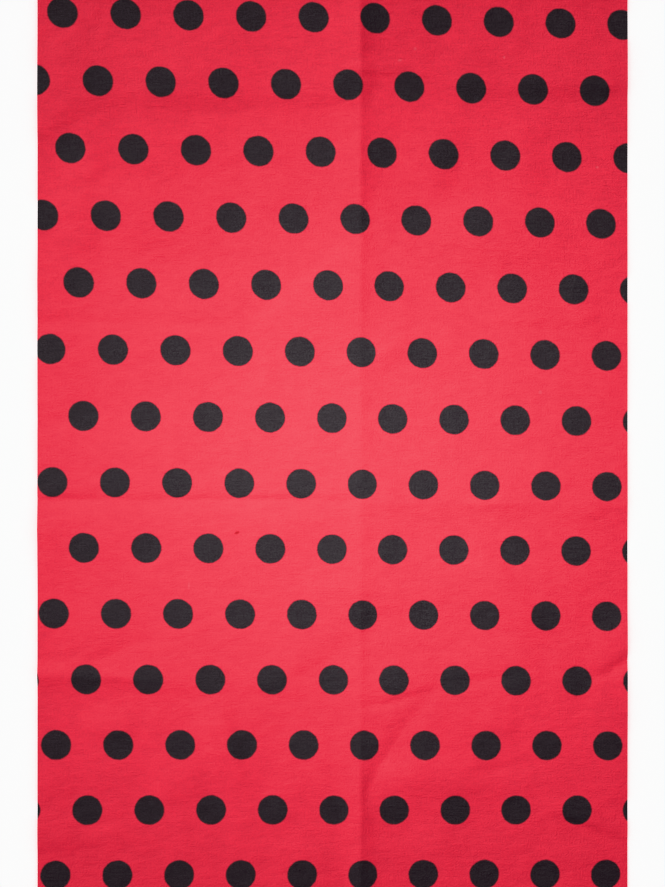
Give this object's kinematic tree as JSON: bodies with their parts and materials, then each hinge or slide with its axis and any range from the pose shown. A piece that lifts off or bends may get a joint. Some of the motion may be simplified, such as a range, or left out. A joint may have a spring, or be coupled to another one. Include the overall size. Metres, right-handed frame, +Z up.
{
  "type": "polka dot fabric",
  "caption": "Cut length of red cotton printed with black polka dots, lying face up with the creases of its quarter fold.",
  "frame": {"origin": "under the middle of the cut length, on the surface that it lies on", "axes": "+X across the cloth, +Y along it, +Z up from its face"},
  "size_m": [0.304, 0.468, 0.0052],
  "materials": {
    "printed_cotton": "soft plain weave, red ground with near black round dots, faint sheen"
  },
  "bodies": {
    "root": {"cloth": "printed_cotton"}
  },
  "joints": []
}
